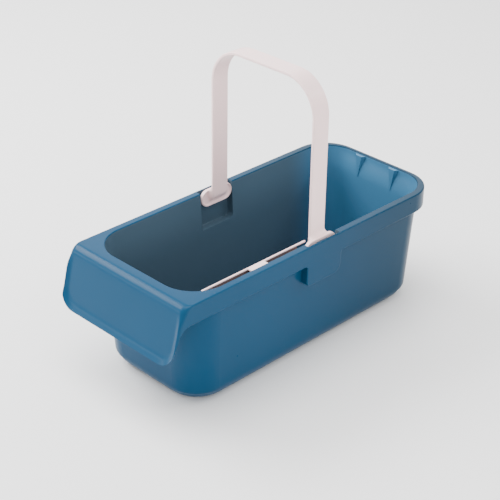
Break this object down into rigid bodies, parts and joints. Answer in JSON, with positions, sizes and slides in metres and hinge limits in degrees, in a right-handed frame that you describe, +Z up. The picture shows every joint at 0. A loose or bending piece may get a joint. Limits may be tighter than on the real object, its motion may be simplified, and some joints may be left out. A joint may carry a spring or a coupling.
{
  "type": "wash tub with carry handle",
  "caption": "Long open wash tub with a rolled pouring lip at one end, a flat-strap bail handle that folds back, and a clip-in scraper rail inside one long side.",
  "frame": {"origin": "centre of the overall footprint, on the surface that the tub stands on", "axes": "+X along the length to the rear, with the pouring lip at -X; +Z up; the scraper rail is on the -Y side"},
  "size_m": [0.49, 0.21, 0.38],
  "materials": {
    "tub_plastic": "semi-gloss moulded polypropylene, mid blue",
    "handle_plastic": "satin moulded polypropylene, pinkish off-white"
  },
  "bodies": {
    "tub": {"tub": "tub_plastic", "scraper_rail": "handle_plastic"},
    "handle": {"carry_handle": "handle_plastic"}
  },
  "joints": [
    {"name": "handle_pivot", "type": "hinge", "parent": "tub", "child": "handle", "pos_m": [0.0175, 0, 0.1596], "axis": [0, 1, 0], "range_deg": [-8, 83.5]}
  ]
}
